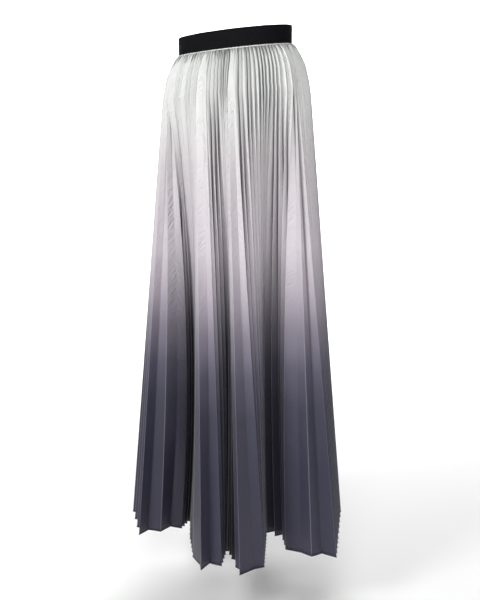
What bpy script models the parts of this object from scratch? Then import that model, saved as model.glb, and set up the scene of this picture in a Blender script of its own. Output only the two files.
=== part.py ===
"""Pleated maxi skirt, worn: two sunray-pleated panels hanging from an elastic waistband.

Units are metres, +Z is up, the front faces -Y and the wearer's left is +X.
The origin is the middle of the waistband's opening. Azimuths are measured in degrees
from the front, positive towards the wearer's left.
"""

import bisect
import math

import bpy
import numpy as np

# Driving dimensions
PLEATS = 84                  # pleats all round, half of them on each panel
SKIRT_LENGTH = 0.885         # from the band's lower edge down to the hem, at the axis
CLOTH_THICKNESS = 0.0010     # wall of the pleated cloth
PANEL_AT_WAIST = 0.0052      # from a ridge to the next valley, under the band
PANEL_AT_HEM = 0.0260        # the same at the hem, where the pleats have opened out
BAND_HEIGHT = 0.030
BAND_THICKNESS = 0.0020
BAND_SIDE = 0.1135           # the band's outer half width, hip to hip
BAND_DEPTH = 0.0850          # the band's outer half depth, front to back
SEAM_GAP = 0.0003            # left free between two pieces at a seam
WAIST_RISE_LEFT = 0.05       # the waist's slope up towards the wearer's left, metre per metre
WAIST_RISE_BACK = 0.08       # and up towards the back
FLUTES_START = 0.070         # drop below the band where the flutes begin to leave the hip line
HEM_SWAY = (0.006, 0.007)    # the hem's centre, off the waist's, as the skirt sways
CREASE_ROOM = 0.0060         # least width left between two valleys that turn towards each other

BAND_COLUMNS = 96            # faces round the waistband
BAND_RINGS = 4

# The smooth form under the flutes: drop below the band, half width, half depth
FORM_COLUMNS = ("drop", "side", "depth")
FORM = (
    (0.000, 0.1138, 0.0853),
    (0.006, 0.1220, 0.0905),
    (0.018, 0.1300, 0.0970),
    (0.036, 0.1390, 0.1050),
    (0.055, 0.1440, 0.1090),
    (0.072, 0.1475, 0.1125),
    (0.092, 0.1502, 0.1150),
    (0.126, 0.1530, 0.1185),
    (0.197, 0.1590, 0.1260),
    (0.885, 0.2150, 0.1960),
)

# The cloth's rings, as drops below the band
RING_DROPS = (0.0, 0.006, 0.018, 0.036, 0.055, 0.075, 0.100, 0.130, 0.165, 0.210, 0.270,
              0.345, 0.420, 0.500, 0.580, 0.660, 0.740, 0.820, 0.885)

# The hem's flutes: where a ridge of the pleating ends at the hem, as azimuth and reach
# from the axis. Ridge 0 is on the right side seam, ridge 42 on the left one.
FLUTE_COLUMNS = ("place", "azimuth", "reach", "ridge")
FLUTES = (
    ("right side, outermost", -53.0, 0.217, 11),
    ("first flute, outer corner", -24.5, 0.199, 14),
    ("first flute, inner corner", -25.8, 0.115, 16),
    ("first trough", -41.0, 0.097, 18),
    ("second flute, root", -2.7, 0.120, 21),
    ("second flute, side", 17.4, 0.165, 24),
    ("second flute, tip", 28.6, 0.202, 25),
    ("second flute, front corner", 38.0, 0.179, 26),
    ("second trough", 37.3, 0.124, 28),
    ("third flute, root", 42.5, 0.151, 29),
    ("third flute, tip", 48.0, 0.208, 31),
    ("third flute, far corner", 61.6, 0.185, 32),
    ("third trough", 94.0, 0.072, 38),
    ("fourth flute, root", 93.7, 0.112, 40),
    ("fourth flute, side", 83.9, 0.143, 42),
    ("fourth flute, middle", 90.3, 0.192, 43),
    ("fourth flute, tip", 98.0, 0.227, 44),
    ("left side, front", 116.3, 0.199, 47),
    ("left side, outermost", 149.0, 0.206, 51),
    ("fifth flute, tip", 166.0, 0.215, 53),
    ("fifth trough", 176.0, 0.125, 58),
    ("sixth flute, first corner", 188.0, 0.205, 62),
    ("sixth flute, second corner", 204.0, 0.212, 64),
    ("sixth trough", 211.0, 0.118, 69),
    ("seventh flute, first corner", 224.0, 0.206, 73),
    ("seventh flute, second corner", 240.0, 0.212, 75),
    ("seventh trough", 250.0, 0.110, 80),
    ("eighth flute, first corner", 260.0, 0.200, 84),
    ("eighth flute, second corner", 279.0, 0.212, 86),
    ("eighth trough", 284.0, 0.130, 90),
    ("right side, rear corner", 294.0, 0.205, 94),
)

HIP_TURNS = 720              # steps that measure an ellipse's way round
FLATTEST = 0.15              # least height of a pleat, as a share of its panel
TIGHTEST_CLOSING = 0.05      # below this the valleys don't crowd each other


def heading(azimuth):
    """The direction of an azimuth in the plan, as (x, y)."""
    angle = math.radians(azimuth)
    return np.array([math.sin(angle), -math.cos(angle)])


def read_column(table, columns, name):
    return [row[columns.index(name)] for row in table]


def form_at(drop):
    """Half width and half depth of the smooth form at a drop below the band."""
    drops = read_column(FORM, FORM_COLUMNS, "drop")
    side = np.interp(drop, drops, read_column(FORM, FORM_COLUMNS, "side"))
    depth = np.interp(drop, drops, read_column(FORM, FORM_COLUMNS, "depth"))
    return side, depth


def ridge_azimuths():
    """Ellipse angles of the ridges under the band, evenly spaced along the band's lower edge."""
    turns = np.linspace(-90.0, 270.0, HIP_TURNS + 1)
    edge = np.array([heading(turn) * (BAND_SIDE, BAND_DEPTH) for turn in turns])
    steps = np.hypot(*np.diff(edge, axis=0).T)
    way = np.concatenate(([0.0], np.cumsum(steps)))
    return np.interp(np.arange(PLEATS) / PLEATS * way[-1], way, turns)


def ellipse_points(drop, turns):
    side, depth = form_at(drop)
    sway = np.array(HEM_SWAY) * drop / SKIRT_LENGTH
    return np.array([heading(turn) * (side, depth) for turn in turns]) + sway


def hem_ridges():
    """Where each ridge meets the hem, read between the rows of the flute table."""
    places = [heading(a) * r for a, r in zip(read_column(FLUTES, FLUTE_COLUMNS, "azimuth"),
                                             read_column(FLUTES, FLUTE_COLUMNS, "reach"))]
    numbers = read_column(FLUTES, FLUTE_COLUMNS, "ridge")
    places.append(places[0])
    numbers.append(numbers[0] + PLEATS)
    points = []
    for ridge in range(PLEATS):
        number = ridge if ridge >= numbers[0] else ridge + PLEATS
        row = min(bisect.bisect_right(numbers, number) - 1, len(numbers) - 2)
        share = (number - numbers[row]) / (numbers[row + 1] - numbers[row])
        points.append(places[row] * (1.0 - share) + places[row + 1] * share)
    return np.array(points) + HEM_SWAY


def ridges_at(drop, turns, hem):
    """The ridges' points in the plan: the smooth form, pulled towards the hem's flutes."""
    pull = max(0.0, (drop - FLUTES_START) / (SKIRT_LENGTH - FLUTES_START))
    spread = hem - ellipse_points(SKIRT_LENGTH, turns)
    return ellipse_points(drop, turns) + pull * spread


def zigzag(ridges, panel):
    """Adds a valley between each ridge and the next, a panel's width from both."""
    following = np.roll(ridges, -1, axis=0)
    chord = following - ridges
    pitch = np.hypot(chord[:, 0], chord[:, 1])
    inward = np.column_stack((-chord[:, 1], chord[:, 0])) / pitch[:, None]
    rise = np.sqrt(np.maximum(panel ** 2 - (pitch / 2.0) ** 2, (FLATTEST * panel) ** 2))
    turn = np.arctan2(inward[:, 0], -inward[:, 1])
    turning = np.angle(np.exp(1j * (turn - np.roll(turn, 1))))
    closing = np.tan(np.maximum(turning, np.roll(turning, -1)) / 2.0)
    room = (pitch - CREASE_ROOM) / 2.0 / np.maximum(closing, TIGHTEST_CLOSING)
    rise = np.minimum(rise, room)
    valleys = (ridges + following) / 2.0 + inward * rise[:, None]
    return np.stack((ridges, valleys), axis=1).reshape(-1, 2)


def inner_side(points, thickness):
    """The same closed line, moved inwards by the cloth's thickness."""
    edge = np.roll(points, -1, axis=0) - points
    edge = edge / np.hypot(edge[:, 0], edge[:, 1])[:, None]
    after = np.column_stack((-edge[:, 1], edge[:, 0]))
    before = np.roll(after, 1, axis=0)
    corner = 1.0 + (after * before).sum(axis=1)
    return points + thickness * (after + before) / corner[:, None]


def lift(points, height, share):
    """Gives plan points their height, tilted with the waist by the given share."""
    slope = WAIST_RISE_LEFT * points[:, 0] + WAIST_RISE_BACK * points[:, 1]
    return np.column_stack((points, height + share * slope))


def cloth_rings():
    """Outer and inner points of every ring of the whole skirt, top ring first."""
    turns = ridge_azimuths()
    hem = hem_ridges()
    top = -BAND_HEIGHT / 2.0 - SEAM_GAP
    rings = []
    for drop in RING_DROPS:
        share = drop / SKIRT_LENGTH
        panel = PANEL_AT_WAIST + (PANEL_AT_HEM - PANEL_AT_WAIST) * share
        outer = zigzag(ridges_at(drop, turns, hem), panel)
        inner = inner_side(outer, CLOTH_THICKNESS)
        rings.append((lift(outer, top - drop, 1.0 - share), lift(inner, top - drop, 1.0 - share)))
    return rings


def trimmed(points):
    """Draws the two ends of a run of points in, to leave the gap at a side seam."""
    points = points.copy()
    for end, neighbour in ((0, 1), (-1, -2)):
        run = points[neighbour] - points[end]
        points[end] += run / np.linalg.norm(run) * SEAM_GAP / 2.0
    return points


def make_object(name, points, faces, colour, roughness):
    mesh = bpy.data.meshes.new(name)
    mesh.from_pydata([tuple(p) for p in points], [], faces)
    mesh.update()
    material = bpy.data.materials.new(name + "_finish")
    material.use_nodes = True
    shader = material.node_tree.nodes["Principled BSDF"]
    shader.inputs["Base Color"].default_value = (*colour, 1.0)
    shader.inputs["Roughness"].default_value = roughness
    shader.inputs["Metallic"].default_value = 0.0
    mesh.materials.append(material)
    made = bpy.data.objects.new(name, mesh)
    bpy.context.scene.collection.objects.link(made)
    return made


def make_panel(name, rings, first, last, colour):
    """One pleated panel from crease `first` to crease `last`, as a closed wall."""
    picks = [index % (2 * PLEATS) for index in range(first, last + 1)]
    points = []
    for outer, inner in rings:
        points.extend(trimmed(outer[picks]))
        points.extend(trimmed(inner[picks]))
    width = len(picks)
    stride = 2 * width
    faces = []

    def quad(a, b, c, d):
        faces.append((a, b, c))
        faces.append((a, c, d))

    for ring in range(len(rings) - 1):
        upper = ring * stride
        lower = upper + stride
        for step in range(width - 1):
            quad(upper + step, lower + step, lower + step + 1, upper + step + 1)
            inside = width + step
            quad(upper + inside + 1, lower + inside + 1, lower + inside, upper + inside)
        quad(upper, upper + width, lower + width, lower)
        end = width - 1
        quad(lower + end, lower + width + end, upper + width + end, upper + end)
    hem = (len(rings) - 1) * stride
    for step in range(width - 1):
        quad(step, step + 1, width + step + 1, width + step)
        quad(hem + width + step, hem + width + step + 1, hem + step + 1, hem + step)
    return make_object(name, points, faces, colour, 0.45)


def make_waistband():
    """A closed ring of elastic, a little waisted between its two edges."""
    turns = np.arange(BAND_COLUMNS) * 360.0 / BAND_COLUMNS
    points = []
    for ring in range(BAND_RINGS + 1):
        share = ring / BAND_RINGS
        height = BAND_HEIGHT * (0.5 - share)
        pinch = 0.0008 * math.sin(math.pi * share)
        for inset in (0.0, BAND_THICKNESS):
            sizes = (BAND_SIDE - inset - pinch, BAND_DEPTH - inset - pinch)
            plan = np.array([heading(turn) * sizes for turn in turns])
            points.extend(lift(plan, height, 1.0))
    faces = []
    stride = 2 * BAND_COLUMNS
    for step in range(BAND_COLUMNS):
        after = (step + 1) % BAND_COLUMNS
        for ring in range(BAND_RINGS):
            upper = ring * stride
            lower = upper + stride
            faces.append((upper + step, lower + step, lower + after, upper + after))
            inner = BAND_COLUMNS
            faces.append((upper + inner + after, lower + inner + after,
                          lower + inner + step, upper + inner + step))
        bottom = BAND_RINGS * stride
        faces.append((step, after, BAND_COLUMNS + after, BAND_COLUMNS + step))
        faces.append((bottom + BAND_COLUMNS + step, bottom + BAND_COLUMNS + after,
                      bottom + after, bottom + step))
    return make_object("waistband", points, faces, (0.012, 0.012, 0.014), 0.7)


def main():
    for old in list(bpy.data.objects):
        bpy.data.objects.remove(old, do_unlink=True)
    rings = cloth_rings()
    make_panel("skirt_front", rings, 0, PLEATS, (0.62, 0.58, 0.62))
    make_panel("skirt_back", rings, PLEATS, 2 * PLEATS, (0.62, 0.58, 0.62))
    make_waistband()


main()
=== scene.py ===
# %% [markdown]
# A pleated maxi skirt, dressed around its CAD frame.
#
# The real skirt is two wide sectors of satin-backed cloth. A machine bakes straight
# creases into each, close together at the waist and wide apart at the hem, and the two
# are gathered onto a ring of black elastic. Once worn, the creases stay sharp while the
# whole cloth swings into deep, soft flutes. So there are two shapes to make: a smooth
# drape, and the pleating that is folded into it. We make the drape in Python and the
# pleating with Geometry Nodes, and then finish the edges, the seams and the colours.

import bisect
import math

import bpy
import numpy as np
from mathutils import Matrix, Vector


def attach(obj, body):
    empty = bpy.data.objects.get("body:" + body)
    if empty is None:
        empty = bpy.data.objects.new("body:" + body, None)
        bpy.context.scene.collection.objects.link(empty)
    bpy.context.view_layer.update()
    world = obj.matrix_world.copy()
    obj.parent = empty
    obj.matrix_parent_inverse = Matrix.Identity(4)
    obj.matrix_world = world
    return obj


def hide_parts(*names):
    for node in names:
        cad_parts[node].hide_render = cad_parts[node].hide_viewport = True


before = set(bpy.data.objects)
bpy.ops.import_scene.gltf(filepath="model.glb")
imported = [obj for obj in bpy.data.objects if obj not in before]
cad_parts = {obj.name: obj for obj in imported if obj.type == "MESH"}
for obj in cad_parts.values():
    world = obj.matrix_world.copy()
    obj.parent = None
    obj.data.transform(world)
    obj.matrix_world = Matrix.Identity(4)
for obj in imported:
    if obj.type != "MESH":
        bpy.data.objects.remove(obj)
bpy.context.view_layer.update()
print("the frame's nodes:", sorted(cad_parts))

# %% [markdown]
# First the sizes, in metres. The front faces -Y, the skirt's own left is +X, and the
# origin is the middle of the waistband's opening. Azimuths are in degrees from the front,
# positive towards the left. A drop is a height below the band, so it is also a place
# along a crease.

# %% The skirt's sizes
PLEATS = 106                 # pleats all round, half of them on each panel
SKIRT_LENGTH = 0.885         # from the band's lower edge down to the hem
PANEL_AT_WAIST = 0.0062      # from a ridge to the next valley, under the band
PANEL_AT_HEM = 0.0260        # the same at the hem
BAND_HEIGHT = 0.030
BAND_THICKNESS = 0.0020
BAND_SIDE = 0.1135           # the band's outer half width
BAND_DEPTH = 0.0850          # the band's outer half depth
SEAM_GAP = 0.0003
WAIST_RISE_LEFT = 0.05       # the waist's slope up towards the left
WAIST_RISE_BACK = 0.08       # and up towards the back
FLUTES_START = 0.070         # drop where the flutes begin
HEM_SWAY = (0.006, 0.007)    # the hem's centre, off the waist's
TROUGH_FROM = 0.180          # ridges that end nearer the middle than this open early
TROUGH_FULL = 0.125          # and from here inwards earliest of all
TROUGH_HASTE = 1.0           # how much faster such a ridge leaves the smooth form
CREASE_ROOM = 0.0018         # least width left between two valleys that turn together
TOP = -BAND_HEIGHT / 2.0 - SEAM_GAP
HEM_HEIGHT = TOP - SKIRT_LENGTH

# The smooth form under the flutes. Right under the band the gathers puff out.
FORM_COLUMNS = ("drop", "side", "depth")
FORM = (
    (0.000, 0.1136, 0.0851),
    (0.002, 0.1176, 0.0878),
    (0.006, 0.1218, 0.0905),
    (0.018, 0.1300, 0.0970),
    (0.036, 0.1390, 0.1050),
    (0.055, 0.1440, 0.1090),
    (0.072, 0.1475, 0.1125),
    (0.092, 0.1502, 0.1150),
    (0.126, 0.1530, 0.1185),
    (0.197, 0.1590, 0.1260),
    (0.885, 0.2150, 0.1960),
)

# The flutes at the hem: where a ridge of the pleating ends, as azimuth and reach.
# Ridge 0 is on the right side seam, ridge 53 on the left one. Shade says how much of
# the light a ridge loses to the flutes beside it, and darkens the cloth's colour there
# as painted shade.
FLUTE_COLUMNS = ("place", "azimuth", "reach", "ridge", "shade")
FLUTES = (
    ("right side, outermost", -53.0, 0.217, 13, 0.0),
    ("first flute, outer corner", -24.5, 0.199, 16, 0.0),
    ("first flute, inner corner", -25.8, 0.115, 18, 0.8),
    ("first trough", -41.0, 0.097, 21, 1.0),
    ("second flute, root", -2.7, 0.120, 25, 0.9),
    ("second flute, side", 17.4, 0.165, 29, 0.2),
    ("second flute, tip", 28.6, 0.202, 30, 0.0),
    ("second flute, front corner", 38.0, 0.179, 31, 0.0),
    ("second trough", 37.3, 0.124, 35, 1.0),
    ("third flute, root", 42.5, 0.151, 37, 0.9),
    ("third flute, tip", 48.0, 0.208, 39, 0.0),
    ("third flute, far corner", 61.6, 0.185, 40, 0.0),
    ("third trough", 94.0, 0.072, 49, 0.6),
    ("fourth flute, root", 93.7, 0.112, 51, 0.5),
    ("fourth flute, side", 83.9, 0.143, 53, 0.0),
    ("fourth flute, middle", 90.3, 0.192, 54, 0.0),
    ("fourth flute, tip", 98.0, 0.227, 55, 0.0),
    ("left side, front", 116.3, 0.199, 59, 0.0),
    ("left side, outermost", 149.0, 0.206, 64, 0.0),
    ("fifth flute, tip", 166.0, 0.215, 66, 0.0),
    ("fifth trough", 176.0, 0.125, 73, 0.7),
    ("sixth flute, first corner", 188.0, 0.205, 78, 0.0),
    ("sixth flute, second corner", 204.0, 0.212, 80, 0.0),
    ("sixth trough", 211.0, 0.118, 87, 0.7),
    ("seventh flute, first corner", 224.0, 0.206, 92, 0.0),
    ("seventh flute, second corner", 240.0, 0.212, 94, 0.0),
    ("seventh trough", 250.0, 0.110, 101, 0.7),
    ("eighth flute, first corner", 260.0, 0.200, 106, 0.0),
    ("eighth flute, second corner", 279.0, 0.212, 108, 0.0),
    ("eighth trough", 284.0, 0.130, 113, 0.6),
    ("right side, rear corner", 294.0, 0.205, 118, 0.0),
)

# Under the band and over the hips the pleats aren't even: some have slipped open and
# others are pressed shut. Each row moves a ridge along the waist, in pleats. The wide
# open pleats are from ridges 30 and 39 to the next ones, and on the hidden sides from
# 63, 73, 86, 97 and 4.
SLIP_COLUMNS = ("ridge", "slip")
SLIPS = (
    (0, 0.0), (4, -0.30), (5, 0.50), (9, -0.10), (13, 0.00), (16, 0.15), (17, 0.60),
    (18, 0.60), (19, 1.00), (20, 1.60), (21, 1.40), (22, 1.20), (23, 0.80), (24, 0.90),
    (25, 1.10), (27, 1.10), (28, 0.80), (29, 0.45), (30, 0.05), (31, 1.70), (32, 1.00),
    (33, 0.80), (35, 1.00), (36, 0.65), (37, 0.10), (38, -0.40), (39, -1.00), (40, -0.30),
    (41, -0.45), (42, -0.15), (43, -0.40), (45, -0.30), (46, -0.55), (47, -0.95),
    (49, -1.30), (51, -1.50), (52, -1.00), (53, -0.45), (54, -0.70), (55, -1.15),
    (56, -1.30), (58, -0.70), (60, -0.20), (63, -0.60), (64, 0.50), (68, 0.20),
    (73, -0.70), (74, 0.40), (79, 0.30), (86, -0.60), (87, 0.60), (91, 0.20),
    (97, -0.70), (98, 0.40), (103, 0.20), (106, 0.0),
)
SEEN_RIDGES = (16, 57)       # the slips of these are read off the photo, so they don't stray
SLIP_DROP = 0.060            # the slips are whole from here down, and half at the band
JITTER = 0.16                # how far any ridge strays besides, in pleats
LEAN = 0.20                  # how far a valley leans to one side, in pleats
SEED = 11

# %% [markdown]
# The camera comes before the cloth, so that every later look is from the right place.
# It stands to the skirt's front left, below the waist, and looks a little down, which is
# why the hem curves like a smile.

# %% The camera
VIEW_AZIMUTH = 48.0
CAMERA_DISTANCE = 1.60
CAMERA_ABOVE_HEM = 0.78
CAMERA_ASIDE = 0.010
CAMERA_DIP = 12.0
FOCAL_PIXELS = 885.0         # in a frame of 480 by 600
FRAME_LONG_SIDE = 600.0

turn = math.radians(VIEW_AZIMUTH)
dip = math.radians(CAMERA_DIP)
AWAY = Vector((-math.sin(turn), math.cos(turn), 0.0))
ASIDE = Vector((math.cos(turn), math.sin(turn), 0.0))
camera = bpy.data.objects.new("camera", bpy.data.cameras.new("camera"))
bpy.context.scene.collection.objects.link(camera)
camera.location = (-AWAY * CAMERA_DISTANCE + ASIDE * CAMERA_ASIDE
                   + Vector((0.0, 0.0, HEM_HEIGHT + CAMERA_ABOVE_HEM)))
looking = AWAY * math.cos(dip) - Vector((0.0, 0.0, math.sin(dip)))
camera.rotation_euler = looking.to_track_quat("-Z", "Y").to_euler()
camera.data.sensor_width = 36.0
camera.data.lens = camera.data.sensor_width * FOCAL_PIXELS / FRAME_LONG_SIDE
bpy.context.scene.camera = camera
print("camera at", [round(x, 3) for x in camera.location])

# %% [markdown]
# Materials and Geometry Nodes are both made of nodes and wires. So that their maths can
# be written as sums, we wrap a socket in a small class that knows how to be added,
# multiplied and divided.

# %% Writing node trees as sums
class Wire:
    """A node tree, and one of its sockets, which can be added, multiplied and so on."""

    def __init__(self, tree, socket=None):
        self.tree = tree
        self.socket = socket

    def node(self, kind, settings=None, sockets=None, out=0):
        """Adds a node: its settings first, then its sockets' values or wires."""
        made = self.tree.nodes.new(kind)
        for name, value in (settings or {}).items():
            if name == "stops":
                set_stops(made.color_ramp, value)
            else:
                setattr(made, name, value)
        for name, value in (sockets or {}).items():
            if isinstance(value, Wire):
                self.tree.links.new(value.socket, made.inputs[name])
            else:
                made.inputs[name].default_value = value
        return Wire(self.tree, made.outputs[out])

    def math(self, operation, *values):
        return self.node("ShaderNodeMath", {"operation": operation}, dict(enumerate(values)))

    def __add__(self, other):
        return self.math("ADD", self, other)

    __radd__ = __add__

    def __sub__(self, other):
        return self.math("SUBTRACT", self, other)

    def __rsub__(self, other):
        return self.math("SUBTRACT", other, self)

    def __mul__(self, other):
        return self.math("MULTIPLY", self, other)

    __rmul__ = __mul__

    def __truediv__(self, other):
        return self.math("DIVIDE", self, other)

    def __abs__(self):
        return self.math("ABSOLUTE", self)


def set_stops(ramp, stops):
    """Gives a colour ramp its stops, each a place and a colour."""
    while len(ramp.elements) < len(stops):
        ramp.elements.new(0.5)
    for element, (place, colour) in zip(ramp.elements, stops):
        element.position = place
        element.color = (*colour, 1.0)


# %% [markdown]
# The smooth drape. Under the band every ridge of the pleating has an even share of the
# waist. At the hem each ridge ends where the flute table says, and between the two it
# runs nearly straight, because a baked crease is stiff. Those that end in a trough leave
# the smooth form a little sooner. The cloth between creases keeps its width, so where two
# ridges hang close together the valley between them is deep, and where they have swung
# apart it is shallow. That one rule gives both the tight pleats inside the troughs and
# the wide open ones on the flutes.

# %% The drape's rule
def heading(azimuth):
    """The direction of an azimuth in the plan."""
    angle = math.radians(azimuth)
    return np.array([math.sin(angle), -math.cos(angle)])


def read_column(table, columns, name):
    return [row[columns.index(name)] for row in table]


def ridge_azimuths(part):
    """Ellipse angles of the ridges, spaced along the band's edge, with part of the slips."""
    turns = np.linspace(-90.0, 270.0, 721)
    edge = np.array([heading(a) * (BAND_SIDE, BAND_DEPTH) for a in turns])
    way = np.concatenate(([0.0], np.cumsum(np.hypot(*np.diff(edge, axis=0).T))))
    count = np.arange(PLEATS)
    slip = np.interp(count, read_column(SLIPS, SLIP_COLUMNS, "ridge"),
                     read_column(SLIPS, SLIP_COLUMNS, "slip"))
    return np.interp((count + part * (slip + STRAYS)) / PLEATS * way[-1], way, turns)


def form_points(drop, turns):
    drops = read_column(FORM, FORM_COLUMNS, "drop")
    side = np.interp(drop, drops, read_column(FORM, FORM_COLUMNS, "side"))
    depth = np.interp(drop, drops, read_column(FORM, FORM_COLUMNS, "depth"))
    sway = np.array(HEM_SWAY) * drop / SKIRT_LENGTH
    return np.array([heading(a) * (side, depth) for a in turns]) + sway


def along_hem(values):
    """A value for each ridge, read between the rows of the flute table."""
    numbers = read_column(FLUTES, FLUTE_COLUMNS, "ridge")
    numbers.append(numbers[0] + PLEATS)
    rows = np.vstack((values, values[:1]))
    result = []
    for ridge in range(PLEATS):
        number = ridge if ridge >= numbers[0] else ridge + PLEATS
        row = min(bisect.bisect_right(numbers, number) - 1, len(numbers) - 2)
        share = (number - numbers[row]) / (numbers[row + 1] - numbers[row])
        result.append(rows[row] * (1.0 - share) + rows[row + 1] * share)
    return np.array(result)


def hem_ridges():
    """Where each ridge meets the hem."""
    places = [heading(a) * r for a, r in zip(read_column(FLUTES, FLUTE_COLUMNS, "azimuth"),
                                             read_column(FLUTES, FLUTE_COLUMNS, "reach"))]
    return along_hem(np.array(places)) + HEM_SWAY


dice = np.random.default_rng(SEED)
STRAYS = dice.uniform(-JITTER, JITTER, PLEATS)
STRAYS[0] = 0.0
STRAYS[slice(*SEEN_RIDGES)] = 0.0
BAND_TURNS = ridge_azimuths(0.5)
HIP_TURNS = ridge_azimuths(1.0)
HEM = hem_ridges()
TROUGH = np.clip((TROUGH_FROM - np.hypot(*HEM.T)) / (TROUGH_FROM - TROUGH_FULL), 0.0, 1.0)
# how much painted shade each ridge gets in the gaps between flutes
SHADES = along_hem(np.array([read_column(FLUTES, FLUTE_COLUMNS, "shade")]).T)[:, 0]
LEANS = dice.uniform(-LEAN, LEAN, PLEATS)


def ridges_at(drop):
    slipped = min(1.0, drop / SLIP_DROP)
    turns = BAND_TURNS * (1.0 - slipped) + HIP_TURNS * slipped
    pull = max(0.0, (drop - FLUTES_START) / (SKIRT_LENGTH - FLUTES_START))
    pulls = (pull * (1.0 + TROUGH_HASTE * TROUGH * (1.0 - pull)))[:, None]
    return form_points(drop, turns) + pulls * (HEM - form_points(SKIRT_LENGTH, HIP_TURNS))


def panel_width(drop):
    return PANEL_AT_WAIST + (PANEL_AT_HEM - PANEL_AT_WAIST) * drop / SKIRT_LENGTH


def folds_at(drop):
    """The ridges at a drop, and from the middle of each pair the way in to their valley."""
    ridges = ridges_at(drop)
    chord = np.roll(ridges, -1, axis=0) - ridges
    pitch = np.hypot(chord[:, 0], chord[:, 1])
    inward = np.column_stack((-chord[:, 1], chord[:, 0])) / pitch[:, None]
    panel = panel_width(drop)
    rise = np.sqrt(np.maximum(panel ** 2 - (pitch / 2.0) ** 2, (0.15 * panel) ** 2))
    angle = np.arctan2(chord[:, 1], chord[:, 0])
    turning = np.angle(np.exp(1j * (angle - np.roll(angle, 1))))
    closing = np.tan(np.maximum(turning, np.roll(turning, -1)) / 2.0)
    rise = np.minimum(rise, (pitch - CREASE_ROOM) / 2.0 / np.maximum(closing, 0.05))
    return ridges, inward * np.maximum(rise, 0.001)[:, None] + chord * LEANS[:, None]


print("ridges at the hem are", round(float(np.hypot(*(HEM[30] - HEM[29]))) * 1000), "mm apart "
      "at the second flute's tip")

# %% [markdown]
# The drape as a mesh: one grid for each panel, with a column at both edges of every
# crease and a few across each panel, and rows that lie closer together under the band.
# The grid isn't pleated yet. Each point carries what the pleating needs, as attributes:
# the vector to its valley, its place in the count of pleats, and its drop. A fourth says
# how much light is lost in the gap between two flutes, which the cloth's colour paints in
# as painted shade. The UV map holds the flat cloth's own measures in metres, for the
# weave, the dye, and the painted shade and highlight.

# %% The drape as a mesh
ACROSS_PANEL = (0.0, 0.08, 0.50, 0.92)         # shares of the way from ridge to valley
GATHER_ROWS = 24
LONG_ROWS = 84
GATHER_DROP = 0.090
UV_PANEL_STRIDE = 0.1                          # keeps two panels' patterns apart
# painted shade in the gaps between flutes grows between these two drops
SHADE_START = 0.10                             # drop where the gaps begin to darken
SHADE_FULL = 0.50                              # and where they are darkest


def smooth_drape(name, first_pleat):
    """A grid of one panel's cloth, half of the pleats from its first ridge."""
    shares = []
    for pleat in range(PLEATS // 2):
        shares += [(pleat, share / 2.0) for share in ACROSS_PANEL]
        shares += [(pleat, 1.0 - share / 2.0) for share in (1.0,) + ACROSS_PANEL[:0:-1]]
    shares.append((PLEATS // 2 - 1, 1.0))
    drops = np.concatenate((np.linspace(0.0, GATHER_DROP, GATHER_ROWS, endpoint=False),
                            np.linspace(GATHER_DROP, SKIRT_LENGTH, LONG_ROWS)))
    width = len(shares)
    points = []
    folds = []
    for drop in drops:
        ridges, fold = folds_at(drop)
        height = TOP - drop
        level = 1.0 - drop / SKIRT_LENGTH
        for pleat, share in shares:
            one = (first_pleat + pleat) % PLEATS
            plan = ridges[one] * (1.0 - share) + ridges[(one + 1) % PLEATS] * share
            slope = WAIST_RISE_LEFT * plan[0] + WAIST_RISE_BACK * plan[1]
            points.append((plan[0], plan[1], height + level * slope))
            folds.append((fold[one][0], fold[one][1], 0.0))
    rows = len(drops)
    faces = [(r * width + c, (r + 1) * width + c, (r + 1) * width + c + 1, r * width + c + 1)
             for r in range(rows - 1) for c in range(width - 1)]
    mesh = bpy.data.meshes.new(name)
    mesh.from_pydata(points, [], faces)
    count = np.array([first_pleat + pleat + share for pleat, share in shares])
    # the painted shade of the gaps between flutes, for each column of the grid
    lost = np.interp(count % PLEATS, np.arange(PLEATS + 1), np.append(SHADES, SHADES[0]))
    depth = np.clip((drops - SHADE_START) / (SHADE_FULL - SHADE_START), 0.0, 1.0)
    columns = {"pleat": np.tile(count, rows), "drop": np.repeat(drops, width),
               "shade": np.outer(depth, lost).ravel()}
    for label, values in columns.items():
        layer = mesh.attributes.new(label, "FLOAT", "POINT")
        layer.data.foreach_set("value", values.astype(np.float32))
    layer = mesh.attributes.new("fold", "FLOAT_VECTOR", "POINT")
    layer.data.foreach_set("vector", np.array(folds, dtype=np.float32).ravel())
    uv = mesh.uv_layers.new(name="UVMap")
    place = np.zeros(len(mesh.loops), dtype=np.int64)
    mesh.loops.foreach_get("vertex_index", place)
    drop_of = columns["drop"][place]
    face_middle = np.repeat(columns["pleat"][place].reshape(-1, 4).mean(axis=1), 4)
    panel_number = np.floor(face_middle * 2.0)
    within = np.abs(columns["pleat"][place] * 2.0 - panel_number)
    within = np.where(panel_number % 2 == 0, within, 1.0 - within)
    across = within * panel_width(drop_of) + panel_number * UV_PANEL_STRIDE
    uv.data.foreach_set("uv", np.column_stack((across, drop_of)).astype(np.float32).ravel())
    drape = bpy.data.objects.new(name, mesh)
    bpy.context.scene.collection.objects.link(drape)
    print(name, "has", len(mesh.polygons), "faces before pleating")
    return drape


# %% [markdown]
# The pleating is a Geometry Nodes tree. It reads how far each point is between two
# ridges, and moves it towards the valley by a zigzag wave, which keeps the creases sharp
# and the panels flat. Real pleats aren't quite flat, so a second step bellies each panel
# a little, one more than the next, and bunches the cloth where the elastic gathers it.

# %% The pleating tree
PUFF = 0.0035                # how far the gathers swell out under the band
SEAM_REACH = 0.0025          # drop over which that swelling sets in
BUNCHES = 1.9                # changes of the gathering for each pleat across
BUNCHES_DOWN = 70.0          # and for each metre down
SWAYS_DOWN = 3.0             # slow changes of a panel's belly for each metre down
SLUBS = 1.7                  # changes of the slub for each pleat across
SLUBS_DOWN = 26.0            # and for each metre down
PANEL_STRIDE = 7.31          # keeps two panels' bellies apart


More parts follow.
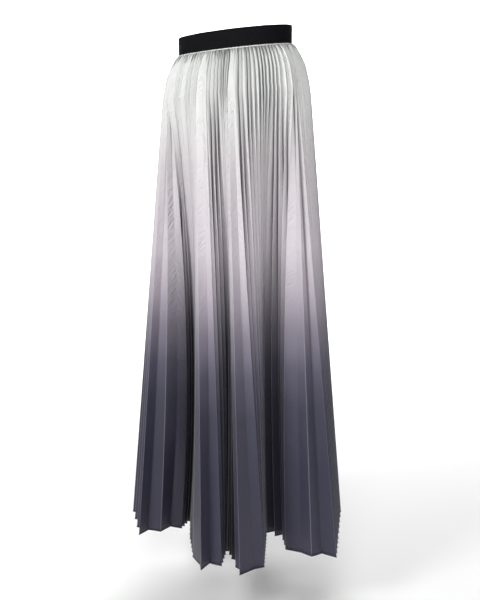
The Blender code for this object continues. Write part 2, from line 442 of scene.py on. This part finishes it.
def pleating_tree():
    tree = bpy.data.node_groups.new("pleat the drape", "GeometryNodeTree")
    face = tree.interface
    face.new_socket("Drape", in_out="INPUT", socket_type="NodeSocketGeometry")
    for label, value in (("Depth", 1.0), ("Belly", 0.0014), ("Gather", 1.1),
                         ("Gather Drop", 0.035), ("Slub", 0.0008)):
        socket = face.new_socket(label, in_out="INPUT", socket_type="NodeSocketFloat")
        socket.default_value = value
    seed = face.new_socket("Seed", in_out="INPUT", socket_type="NodeSocketInt")
    seed.default_value = 7
    face.new_socket("Cloth", in_out="INPUT", socket_type="NodeSocketMaterial")
    face.new_socket("Pleated", in_out="OUTPUT", socket_type="NodeSocketGeometry")
    start = Wire(tree)
    given = tree.nodes.new("NodeGroupInput")
    size = {socket.name: Wire(tree, socket) for socket in given.outputs}

    def attribute(label, kind="FLOAT"):
        return start.node("GeometryNodeInputNamedAttribute", {"data_type": kind}, {"Name": label})

    pleat = attribute("pleat")
    drop = attribute("drop")
    zigzag = 1.0 - abs(2.0 * pleat.math("FRACT", pleat) - 1.0)
    near_band = 1.0 - (drop / size["Gather Drop"]).math("MINIMUM", drop / size["Gather Drop"], 1.0)
    bunch = start.node("ShaderNodeCombineXYZ", None,
                       {"X": pleat * BUNCHES, "Y": drop * BUNCHES_DOWN, "Z": size["Seed"] + 9.0})
    bunched = start.node("ShaderNodeTexNoise", {"noise_dimensions": "3D"},
                         {"Vector": bunch, "Scale": 1.0, "Detail": 2.0}) - 0.5
    depth = size["Depth"] + bunched * near_band * size["Gather"]
    into = start.node("ShaderNodeVectorMath", {"operation": "SCALE"},
                      {0: attribute("fold", "FLOAT_VECTOR"), "Scale": zigzag * depth})
    folded = start.node("GeometryNodeSetPosition", None,
                        {"Geometry": size["Drape"], "Offset": into})
    panel = (pleat * 2.0).math("FLOOR", pleat * 2.0)
    spot = start.node("ShaderNodeCombineXYZ", None,
                      {"X": panel * PANEL_STRIDE, "Y": drop * SWAYS_DOWN, "Z": size["Seed"]})
    sway = start.node("ShaderNodeTexNoise", {"noise_dimensions": "3D"},
                      {"Vector": spot, "Scale": 1.0, "Detail": 1.0}) - 0.5
    bulge = zigzag.math("SINE", zigzag * math.pi) * sway * size["Belly"] * 2.0
    off_seam = drop.math("MINIMUM", drop * (1.0 / SEAM_REACH), 1.0)
    puff = bunched * near_band * off_seam * PUFF
    long_spot = start.node("ShaderNodeCombineXYZ", None,
                           {"X": pleat * SLUBS, "Y": drop * SLUBS_DOWN, "Z": size["Seed"] + 3.0})
    slub = (start.node("ShaderNodeTexNoise", {"noise_dimensions": "3D"},
                       {"Vector": long_spot, "Scale": 1.0, "Detail": 2.0}) - 0.5)
    slub = slub * size["Slub"] * zigzag.math("SINE", zigzag * math.pi)
    normal = start.node("GeometryNodeInputNormal")
    push = start.node("ShaderNodeVectorMath", {"operation": "SCALE"},
                      {0: normal, "Scale": bulge + puff + slub})
    eased = start.node("GeometryNodeSetPosition", None, {"Geometry": folded, "Offset": push})
    real = start.node("GeometryNodeRealizeInstances", None, {"Geometry": eased})
    dressed = start.node("GeometryNodeSetMaterial", None,
                         {"Geometry": real, "Material": size["Cloth"]})
    result = tree.nodes.new("NodeGroupOutput")
    tree.links.new(dressed.socket, result.inputs["Pleated"])
    return tree


def run_tree(carrier, tree, values, name):
    """Runs a tree on an object and keeps the result as a plain mesh object."""
    modifier = carrier.modifiers.new(tree.name, "NODES")
    modifier.node_group = tree
    for socket in tree.interface.items_tree:
        if socket.in_out == "INPUT" and socket.name in values:
            modifier[socket.identifier] = values[socket.name]
    evaluated = carrier.evaluated_get(bpy.context.evaluated_depsgraph_get())
    mesh = bpy.data.meshes.new_from_object(evaluated)
    mesh.name = name
    carrier.modifiers.remove(modifier)
    bpy.data.objects.remove(carrier, do_unlink=True)
    made = bpy.data.objects.new(name, mesh)
    bpy.context.scene.collection.objects.link(made)
    return made


# %% [markdown]
# The cloth's finish. The dye runs from off-white at the waist through pale mauve to slate
# blue at the hem; fine puckers slant across the panels where the satin was baked; the
# satin has its own soft sheen. Painted shade darkens the cloth deep in a fold, darker and
# wider the more the fold is shut, and also in the gaps between flutes and in the small
# gathers under the band, and a painted highlight pales each pressed ridge. All of them
# are read from the UV map and the attributes, so they follow the cloth and not the room.

# %% The cloth's finish
DYE = (
    (0.00, (0.740, 0.755, 0.735)),
    (0.12, (0.730, 0.730, 0.725)),
    (0.22, (0.670, 0.635, 0.655)),
    (0.38, (0.640, 0.590, 0.635)),
    (0.46, (0.470, 0.425, 0.480)),
    (0.54, (0.250, 0.230, 0.280)),
    (0.62, (0.112, 0.106, 0.148)),
    (0.70, (0.062, 0.060, 0.090)),
    (0.82, (0.047, 0.045, 0.074)),
    (1.00, (0.045, 0.043, 0.071)),
)
PUCKER_SHORT = 0.0052        # from one pucker to the next
PUCKER_LONG = 0.016          # and how long one is
PUCKER_HEIGHT = 0.0036
EDGE_CLEAR = 0.0030          # puckers fade this close to a crease
# painted highlight: the colour of each pressed ridge is paled this far in
RIDGE_HIGHLIGHT_REACH = 0.0012        # the pressed ridge is paler this far in
# painted shade: how much a shut fold darkens the cloth's colour deep inside
PAINTED_FOLD_SHADE = 0.86            # the cloth is darker deep in a shut fold,
SHADE_WIDTH = 0.92           # over this much of a panel,
# painted shade: how far the gaps between flutes darken the cloth's colour
PAINTED_GAP_SHADE = 0.90             # and all over in the gaps between flutes
# the small gathers under the band: dents in the bump, and painted shade in the colour
GATHER_WIDE = 0.0022         # the small dark gathers under the band
GATHER_LONG = 0.030
PAINTED_GATHER_SHADE = 0.75
WEAVE = 0.0005
# painted shade: the colour the dye is darkened towards in folds, gaps and gathers
PAINTED_SHADE_COLOUR = (0.03, 0.03, 0.05)    # what the dye is multiplied by in the dark of a fold
# the painted highlight screened onto the ridges
PAINTED_RIDGE_HIGHLIGHT = (0.26, 0.26, 0.27)


def new_material(name):
    material = bpy.data.materials.new(name)
    material.use_nodes = True
    tree = material.node_tree
    shader = tree.nodes["Principled BSDF"]
    return material, tree, shader, Wire(tree)


def cloth_finish():
    material, tree, shader, start = new_material("pleated_satin")
    map_ = start.node("ShaderNodeUVMap", {"uv_map": "UVMap"})
    across = start.node("ShaderNodeSeparateXYZ", None, {0: map_}, out=0)
    drop = start.node("ShaderNodeSeparateXYZ", None, {0: map_}, out=1)
    slow = start.node("ShaderNodeTexNoise", {"noise_dimensions": "2D"},
                      {"Vector": map_, "Scale": 9.0, "Detail": 2.0}) - 0.5
    place = drop / SKIRT_LENGTH + slow * 0.03
    dye = start.node("ShaderNodeValToRGB", {"stops": DYE}, {"Fac": place})
    slant = 1.0 / math.sqrt(2.0)
    along = (across - drop) * (slant / PUCKER_LONG)
    over = (across + drop) * (slant / PUCKER_SHORT)
    spot = start.node("ShaderNodeCombineXYZ", None, {"X": over, "Y": along})
    pucker = start.node("ShaderNodeTexNoise", {"noise_dimensions": "2D"},
                        {"Vector": spot, "Scale": 1.0, "Detail": 2.5, "Roughness": 0.55})
    patch = start.node("ShaderNodeTexNoise", {"noise_dimensions": "2D"},
                       {"Vector": map_, "Scale": 14.0, "Detail": 1.0})
    strength = start.node("ShaderNodeMapRange", {"clamp": True},
                          {"Value": patch, "From Min": 0.38, "From Max": 0.62,
                           "To Min": 0.30, "To Max": 1.0})
    fading = start.node("ShaderNodeMapRange", {"clamp": True},
                        {"Value": drop, "From Min": 0.22, "From Max": 0.48,
                         "To Min": 1.0, "To Max": 0.15})
    panel = drop * ((PANEL_AT_HEM - PANEL_AT_WAIST) / SKIRT_LENGTH) + PANEL_AT_WAIST
    way_in = start.node("ShaderNodeAttribute", {"attribute_name": "fold"}, out=1)
    tight = start.node("ShaderNodeVectorMath", {"operation": "LENGTH"}, {0: way_in}, out=1) / panel
    tight = tight.math("MINIMUM", tight, 1.0)
    # the gathers under the band: a noise that dents the bump and paints their shade into the colour
    mark_spot = start.node("ShaderNodeCombineXYZ", None,
                           {"X": across / GATHER_WIDE, "Y": drop / GATHER_LONG})
    mark = start.node("ShaderNodeTexNoise", {"noise_dimensions": "2D"},
                      {"Vector": mark_spot, "Scale": 1.0, "Detail": 1.0})
    under = start.node("ShaderNodeMapRange", {"clamp": True},
                       {"Value": drop, "From Min": 0.0, "From Max": GATHER_LONG,
                        "To Min": 0.30, "To Max": -0.30})
    gather_bump_and_shade = start.node("ShaderNodeMapRange", {"clamp": True},
                       {"Value": mark + under, "From Min": 0.62, "From Max": 0.85})
    own = across.math("FLOORED_MODULO", across, UV_PANEL_STRIDE)
    edge = own.math("MINIMUM", own, panel - own)
    clear = edge.math("MINIMUM", edge / EDGE_CLEAR, 1.0)
    # mask of the painted highlight along each ridge
    crease = 1.0 - own.math("MINIMUM", own / RIDGE_HIGHLIGHT_REACH, 1.0)
    weave_spot = start.node("ShaderNodeCombineXYZ", None,
                            {"X": across / WEAVE, "Y": drop / (WEAVE * 3.0)})
    weave = start.node("ShaderNodeTexNoise", {"noise_dimensions": "2D"},
                       {"Vector": weave_spot, "Scale": 1.0, "Detail": 0.0})
    strength = strength * (1.6 - tight)
    height = (pucker - 0.5) * strength * clear * fading + (weave - 0.5) * 0.02 - gather_bump_and_shade * 0.3
    bump = start.node("ShaderNodeBump", None,
                      {"Strength": 1.0, "Distance": PUCKER_HEIGHT, "Height": height})
    shade = start.node("ShaderNodeMix", {"data_type": "RGBA", "blend_type": "MULTIPLY"},
                       {"Factor": 0.10 * weave, 6: dye, 7: (0.6, 0.6, 0.62, 1.0)}, out=2)
    # painted shade of the gaps between flutes, read from the attribute
    hidden = start.node("ShaderNodeAttribute", {"attribute_name": "shade"}, out=2)
    # painted shade deep in a fold: the dye darkens over more of the panel the tighter the fold is
    # shut
    shut = tight * tight
    deep = start.node("ShaderNodeMapRange", {"clamp": True, "interpolation_type": "SMOOTHSTEP"},
                      {"Value": own / panel, "From Min": 1.0 - shut * shut * SHADE_WIDTH,
                       "From Max": 1.02})
    lost = deep * shut * PAINTED_FOLD_SHADE
    lost = lost.math("MAXIMUM", lost, hidden * hidden * PAINTED_GAP_SHADE)
    # the painted shade of the gathers under the band
    lost = lost.math("MAXIMUM", lost, gather_bump_and_shade * PAINTED_GATHER_SHADE)
    # the painted shade of folds, gaps and gathers, multiplied into the dye
    folded = start.node("ShaderNodeMix", {"data_type": "RGBA", "blend_type": "MULTIPLY"},
                        {"Factor": lost, 6: shade, 7: (*PAINTED_SHADE_COLOUR, 1.0)}, out=2)
    # painted highlight: the ridges' colour is paled along the crease
    painted_shade_and_highlight = start.node("ShaderNodeMix", {"data_type": "RGBA", "blend_type": "SCREEN"},
                      {"Factor": crease * 0.6, 6: folded, 7: (*PAINTED_RIDGE_HIGHLIGHT, 1.0)}, out=2)
    tree.links.new(painted_shade_and_highlight.socket, shader.inputs["Base Color"])
    tree.links.new((0.44 + (weave - 0.5) * 0.12).socket, shader.inputs["Roughness"])
    tree.links.new(bump.socket, shader.inputs["Normal"])
    shader.inputs["Specular IOR Level"].default_value = 0.35
    shader.inputs["Sheen Weight"].default_value = 0.12
    shader.inputs["Sheen Roughness"].default_value = 0.35
    return material


def edge_finish(name, tone):
    """The same dye for seams, hems and the gathered edge, read from the height."""
    material, tree, shader, start = new_material(name)
    spot = start.node("ShaderNodeTexCoord", out=3)
    height = start.node("ShaderNodeSeparateXYZ", None, {0: spot}, out=2)
    thread = start.node("ShaderNodeTexNoise", None, {"Vector": spot, "Scale": 700.0, "Detail": 1.0})
    place = (TOP - height) / SKIRT_LENGTH + (thread - 0.5) * 0.02
    stops = [(stop, [channel * tone for channel in colour]) for stop, colour in DYE]
    dye = start.node("ShaderNodeValToRGB", {"stops": stops}, {"Fac": place})
    bump = start.node("ShaderNodeBump", None,
                      {"Strength": 0.5, "Distance": 0.0004, "Height": thread})
    tree.links.new(dye.socket, shader.inputs["Base Color"])
    tree.links.new((0.46 + (thread - 0.5) * 0.1).socket, shader.inputs["Roughness"])
    tree.links.new(bump.socket, shader.inputs["Normal"])
    return material


CLOTH = cloth_finish()
EDGE = edge_finish("satin_edge", 1.0)
HEM_EDGE = edge_finish("rolled_hem", 0.45)
PLEATING = pleating_tree()

# %% [markdown]
# The drape, the pleating and the finish now come together in the two panels. Each is a
# plain mesh when the tree has run, and a wall of cloth thickness is added inwards.

# %% The two panels
CLOTH_SHELL = 0.0006


def make_panel(name, first_pleat):
    drape = smooth_drape(name + "_drape", first_pleat)
    panel = run_tree(drape, PLEATING, {"Cloth": CLOTH}, name)
    panel.data.shade_smooth()
    wall = panel.modifiers.new("wall", "SOLIDIFY")
    wall.thickness = CLOTH_SHELL
    wall.offset = -1.0
    wall.use_even_offset = False
    print(name, "has", len(panel.data.polygons), "faces a side")
    return panel


front = make_panel("front_panel", 0)
back = make_panel("back_panel", PLEATS // 2)

# %% [markdown]
# A hem, a seam and the gathered edge under the elastic are all the same thing: a thin
# cord of cloth along a line. One Geometry Nodes tree makes them. It turns a line of
# edges into a curve, lets its thickness swell and shrink a little, and gives it a round
# section. A second tree sets stitches along a line, one instance for each stitch.

# %% The trees for cords and stitches
def cord_tree():
    tree = bpy.data.node_groups.new("roll a cord", "GeometryNodeTree")
    face = tree.interface
    face.new_socket("Line", in_out="INPUT", socket_type="NodeSocketGeometry")
    for label, value in (("Radius", 0.0008), ("Swell", 0.3), ("Swell Scale", 250.0)):
        socket = face.new_socket(label, in_out="INPUT", socket_type="NodeSocketFloat")
        socket.default_value = value
    face.new_socket("Cloth", in_out="INPUT", socket_type="NodeSocketMaterial")
    face.new_socket("Cord", in_out="OUTPUT", socket_type="NodeSocketGeometry")
    start = Wire(tree)
    given = tree.nodes.new("NodeGroupInput")
    size = {socket.name: Wire(tree, socket) for socket in given.outputs}
    curve = start.node("GeometryNodeMeshToCurve", None, {"Mesh": size["Line"]})
    spot = start.node("GeometryNodeInputPosition")
    noise = start.node("ShaderNodeTexNoise", {"noise_dimensions": "3D"},
                       {"Vector": spot, "Scale": size["Swell Scale"], "Detail": 1.0})
    radius = size["Radius"] * (1.0 + (noise - 0.5) * 2.0 * size["Swell"])
    ring = start.node("GeometryNodeCurvePrimitiveCircle", None, {"Resolution": 6, "Radius": 1.0})
    cord = start.node("GeometryNodeCurveToMesh", None,
                      {"Curve": curve, "Profile Curve": ring, "Scale": radius,
                       "Fill Caps": True})
    smooth = start.node("GeometryNodeSetShadeSmooth", None, {"Geometry": cord})
    dressed = start.node("GeometryNodeSetMaterial", None,
                         {"Geometry": smooth, "Material": size["Cloth"]})
    result = tree.nodes.new("NodeGroupOutput")
    tree.links.new(dressed.socket, result.inputs["Cord"])
    return tree


def stitch_tree():
    tree = bpy.data.node_groups.new("sew a row", "GeometryNodeTree")
    face = tree.interface
    face.new_socket("Line", in_out="INPUT", socket_type="NodeSocketGeometry")
    for label, value in (("Step", 0.0032), ("Length", 0.0022), ("Thread", 0.00022)):
        socket = face.new_socket(label, in_out="INPUT", socket_type="NodeSocketFloat")
        socket.default_value = value
    face.new_socket("Yarn", in_out="INPUT", socket_type="NodeSocketMaterial")
    face.new_socket("Stitches", in_out="OUTPUT", socket_type="NodeSocketGeometry")
    start = Wire(tree)
    given = tree.nodes.new("NodeGroupInput")
    size = {socket.name: Wire(tree, socket) for socket in given.outputs}
    curve = start.node("GeometryNodeMeshToCurve", None, {"Mesh": size["Line"]})
    row = tree.nodes.new("GeometryNodeCurveToPoints")
    row.mode = "LENGTH"
    tree.links.new(curve.socket, row.inputs["Curve"])
    tree.links.new(size["Step"].socket, row.inputs["Length"])
    ball = start.node("GeometryNodeMeshIcoSphere", None, {"Radius": 1.0, "Subdivisions": 2})
    shape = start.node("ShaderNodeCombineXYZ", None,
                       {"X": size["Thread"], "Y": size["Thread"], "Z": size["Length"] / 2.0})
    placed = start.node("GeometryNodeInstanceOnPoints", None,
                        {"Points": Wire(tree, row.outputs["Points"]), "Instance": ball,
                         "Rotation": Wire(tree, row.outputs["Rotation"]), "Scale": shape})
    real = start.node("GeometryNodeRealizeInstances", None, {"Geometry": placed})
    smooth = start.node("GeometryNodeSetShadeSmooth", None, {"Geometry": real})
    dressed = start.node("GeometryNodeSetMaterial", None,
                         {"Geometry": smooth, "Material": size["Yarn"]})
    result = tree.nodes.new("NodeGroupOutput")
    tree.links.new(dressed.socket, result.inputs["Stitches"])
    return tree


def line_object(name, points, closed):
    """A mesh of edges only, for a tree that works along a line."""
    edges = [(i, i + 1) for i in range(len(points) - 1)]
    if closed:
        edges.append((len(points) - 1, 0))
    mesh = bpy.data.meshes.new(name)
    mesh.from_pydata([tuple(p) for p in points], edges, [])
    line = bpy.data.objects.new(name, mesh)
    bpy.context.scene.collection.objects.link(line)
    return line


def panel_line(panel, pick):
    """Points of a panel's own grid, from its outer side: a row or a column."""
    width = PLEATS // 2 * 2 * (len(ACROSS_PANEL)) + 1
    grid = [vertex.co.copy() for vertex in panel.data.vertices]
    rows = len(grid) // width
    if pick == "hem":
        return grid[(rows - 1) * width:]
    return grid[width * 2::width]


CORD = cord_tree()
STITCH = stitch_tree()

# %% [markdown]
# The hem is rolled and stitched narrow, and its cord takes the dye at 0.45 of its
# brightness, a thin dark edge that follows every fold. The side seams run down a crease,
# one at each end of a panel.

# %% The hems and the side seams
HEM_RADIUS = 0.0009
SEAM_RADIUS = 0.0005
hem_front = run_tree(line_object("line", panel_line(front, "hem"), False), CORD,
                     {"Radius": HEM_RADIUS, "Swell": 0.25, "Cloth": HEM_EDGE}, "front_hem")
hem_back = run_tree(line_object("line", panel_line(back, "hem"), False), CORD,
                    {"Radius": HEM_RADIUS, "Swell": 0.25, "Cloth": HEM_EDGE}, "back_hem")
seam_right = run_tree(line_object("line", panel_line(front, "side"), False), CORD,
                      {"Radius": SEAM_RADIUS, "Swell": 0.1, "Cloth": EDGE}, "right_side_seam")
seam_left = run_tree(line_object("line", panel_line(back, "side"), False), CORD,
                     {"Radius": SEAM_RADIUS, "Swell": 0.1, "Cloth": EDGE}, "left_side_seam")
for piece in (hem_front, hem_back, seam_right, seam_left):
    print(piece.name, "has", len(piece.data.polygons), "faces")

# %% [markdown]
# The waistband is one ring of black elastic, woven with fine ribs that run round it. We
# sweep its rounded section round the waist, and a small tree raises the ribs.

# %% The elastic band
BAND_ROWS = 61               # points up the band's outer face, enough for the ribs


def elastic_finish():
    material, tree, shader, start = new_material("black_elastic")
    spot = start.node("ShaderNodeTexCoord", out="Object")
    rib = start.node("ShaderNodeTexNoise", None, {"Vector": spot, "Scale": 900.0, "Detail": 1.0})
    bump = start.node("ShaderNodeBump", None, {"Strength": 0.4, "Distance": 0.0003, "Height": rib})
    colour = start.node("ShaderNodeValToRGB",
                        {"stops": ((0.3, (0.003, 0.003, 0.004)), (0.7, (0.008, 0.008, 0.010)))},
                        {"Fac": rib})
    tree.links.new(colour.socket, shader.inputs["Base Color"])
    tree.links.new(bump.socket, shader.inputs["Normal"])
    shader.inputs["Roughness"].default_value = 0.85
    shader.inputs["Specular IOR Level"].default_value = 0.10
    return material


ELASTIC = elastic_finish()


def band_points(proud, rise, columns=288):
    """A level line round the band, so far out from its face and above its middle."""
    points = []
    for step in range(columns):
        plan = heading(360.0 * step / columns) * (BAND_SIDE + proud, BAND_DEPTH + proud)
        slope = WAIST_RISE_LEFT * plan[0] + WAIST_RISE_BACK * plan[1]
        points.append((plan[0], plan[1], rise + slope))
    return points


def band_profile():
    """The band's section, as (out from the face, height) pairs, from the foot outside."""
    half = BAND_HEIGHT / 2.0
    soft = BAND_THICKNESS / 2.0
    outer = [(0.0, h) for h in np.linspace(-half + soft, half - soft, BAND_ROWS)]
    head = [(-soft * (1.0 - math.cos(a)), half - soft * (1.0 - math.sin(a)))
            for a in np.radians((30.0, 60.0, 90.0, 120.0, 150.0))]
    inner = [(-BAND_THICKNESS, h) for h in np.linspace(half - soft, -half + soft, 9)]
    foot = [(x, -h) for x, h in reversed(head)]
    return outer + head + inner + foot


def rib_tree():
    """Fine ribs along the elastic, with a little slackness in each."""
    tree = bpy.data.node_groups.new("rib the elastic", "GeometryNodeTree")
    face = tree.interface
    face.new_socket("Band", in_out="INPUT", socket_type="NodeSocketGeometry")
    for label, value in (("Rib Pitch", 0.0025), ("Rib Height", 0.00022), ("Slack", 0.0005)):
        socket = face.new_socket(label, in_out="INPUT", socket_type="NodeSocketFloat")
        socket.default_value = value
    face.new_socket("Weave", in_out="INPUT", socket_type="NodeSocketMaterial")
    face.new_socket("Elastic", in_out="OUTPUT", socket_type="NodeSocketGeometry")
    start = Wire(tree)
    given = tree.nodes.new("NodeGroupInput")
    size = {socket.name: Wire(tree, socket) for socket in given.outputs}
    rise = start.node("GeometryNodeInputNamedAttribute", {"data_type": "FLOAT"}, {"Name": "rise"})
    wave = rise.math("SINE", rise * (2.0 * math.pi) / size["Rib Pitch"])
    spot = start.node("GeometryNodeInputPosition")
    noise = start.node("ShaderNodeTexNoise", {"noise_dimensions": "3D"},
                       {"Vector": spot, "Scale": 22.0, "Detail": 1.0}) - 0.5
    push = start.node("ShaderNodeVectorMath", {"operation": "SCALE"},
                      {0: start.node("GeometryNodeInputNormal"),
                       "Scale": wave * size["Rib Height"] + noise * size["Slack"]})
    ribbed = start.node("GeometryNodeSetPosition", None, {"Geometry": size["Band"], "Offset": push})
    smooth = start.node("GeometryNodeSetShadeSmooth", None, {"Geometry": ribbed})
    dressed = start.node("GeometryNodeSetMaterial", None,
                         {"Geometry": smooth, "Material": size["Weave"]})
    result = tree.nodes.new("NodeGroupOutput")
    tree.links.new(dressed.socket, result.inputs["Elastic"])
    return tree


def make_band(name):
    profile = band_profile()
    points = []
    for proud, height in profile:
        points += band_points(proud, height)
    columns = len(points) // len(profile)
    faces = []
    for ring in range(len(profile)):
        upper = ((ring + 1) % len(profile)) * columns
        lower = ring * columns
        for step in range(columns):
            after = (step + 1) % columns
            faces.append((lower + step, lower + after, upper + after, upper + step))
    mesh = bpy.data.meshes.new(name + "_plain")
    mesh.from_pydata(points, [], faces)
    layer = mesh.attributes.new("rise", "FLOAT", "POINT")
    layer.data.foreach_set("value", np.repeat([h for _, h in profile], columns).astype(np.float32))
    plain = bpy.data.objects.new(name + "_plain", mesh)
    bpy.context.scene.collection.objects.link(plain)
    return run_tree(plain, rib_tree(), {"Weave": ELASTIC}, name)


band = make_band("elastic_waistband")
print(band.name, "has", len(band.data.polygons), "faces")

# %% [markdown]
# Where the elastic grips the cloth, the gathered edge swells out in a bright uneven rim.
# One row of stitches in the band, just above it, holds the two together.

# %% The gathered edge and the stitching that holds it
EDGE_RADIUS = 0.0011
foot = -BAND_HEIGHT / 2.0
gathered = run_tree(line_object("line", band_points(0.0004, foot - 0.0012, 848), True), CORD,
                    {"Radius": EDGE_RADIUS, "Swell": 0.9, "Swell Scale": 330.0, "Cloth": EDGE},
                    "gathered_edge")
stitches = run_tree(line_object("line", band_points(0.0002, foot + 0.0035), True), STITCH,
                    {"Yarn": ELASTIC}, "waist_stitches")
print(gathered.name, "and", stitches.name, "have", len(gathered.data.polygons), "and",
      len(stitches.data.polygons), "faces")

# %% [markdown]
# The stage: a plain pale floor, a white backdrop behind the skirt as the camera sees it,
# and soft lamps. The key is on the camera's left, a second is in front, a weak one is on
# the right, and one behind lights the back. The last whitens only the floor.

# %% The stage
def plain_material(name, colour, roughness):
    material, tree, shader, start = new_material(name)
    shader.inputs["Base Color"].default_value = (*colour, 1.0)
    shader.inputs["Roughness"].default_value = roughness
    return material


FLOOR_DROP = 0.12
mesh = bpy.data.meshes.new("floor")
reach = 30.0
low = HEM_HEIGHT - FLOOR_DROP
mesh.from_pydata([(-reach, -reach, low), (reach, -reach, low), (reach, reach, low),
                  (-reach, reach, low)], [], [(0, 1, 2, 3)])
mesh.materials.append(plain_material("pale_floor", (0.93, 0.93, 0.93), 0.9))
floor = bpy.data.objects.new("floor", mesh)
bpy.context.scene.collection.objects.link(floor)

mesh = bpy.data.meshes.new("backdrop")
corners = ((-2.8, 0.0), (2.8, 0.0), (2.8, 6.0), (-2.8, 6.0))
mesh.from_pydata([AWAY * 5.0 + ASIDE * x + Vector((0.0, 0.0, low + z)) for x, z in corners],
                 [], [(0, 1, 2, 3)])
glow = plain_material("white_backdrop", (0.9, 0.9, 0.9), 0.9)
glow.node_tree.nodes["Principled BSDF"].inputs["Emission Color"].default_value = (1, 1, 1, 1)
glow.node_tree.nodes["Principled BSDF"].inputs["Emission Strength"].default_value = 0.8
mesh.materials.append(glow)
backdrop = bpy.data.objects.new("backdrop", mesh)
bpy.context.scene.collection.objects.link(backdrop)


def lamp(name, place, size, power, target=(0.0, 0.0, -0.4)):
    """A square area lamp at a place given as (aside, towards the camera, up)."""
    data = bpy.data.lights.new(name, "AREA")
    data.size = size
    data.energy = power
    made = bpy.data.objects.new(name, data)
    made.location = ASIDE * place[0] - AWAY * place[1] + Vector((0.0, 0.0, place[2]))
    aim = ASIDE * target[0] - AWAY * target[1] + Vector((0.0, 0.0, target[2])) - made.location
    made.rotation_euler = aim.to_track_quat("-Z", "Y").to_euler()
    bpy.context.scene.collection.objects.link(made)
    return made


lamp("key", (-1.6, 1.5, 0.8), 0.7, 32.0)
lamp("front", (-0.2, 2.3, 0.9), 0.9, 25.0)
lamp("right", (1.2, 1.9, 0.5), 0.9, 10.0)
lamp("rear", (0.0, -2.6, 1.4), 2.0, 30.0)
lamp("floor lamp", (0.0, -3.0, 1.2), 3.0, 120.0, (0.0, -3.4, -1.1))
world = bpy.data.worlds.new("white room")
world.use_nodes = True
world.node_tree.nodes["Background"].inputs["Color"].default_value = (1.0, 1.0, 1.0, 1.0)
world.node_tree.nodes["Background"].inputs["Strength"].default_value = 0.08
bpy.context.scene.world = world
bpy.context.scene.view_settings.view_transform = "Standard"

# %% [markdown]
# Last, the frame's nodes that the panels and the band stand for are hidden, and each piece
# rides the root body. Flat, a panel of the cloth is a sector between two circles, as long
# round as its folds are wide together.


for piece, node in ((front, "skirt_front"), (back, "skirt_back"), (band, "waistband")):
    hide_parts(node)
for piece in (front, back, hem_front, hem_back, seam_right, seam_left, gathered):
    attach(piece, "root")
for piece in (band, stitches):
    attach(piece, "root")
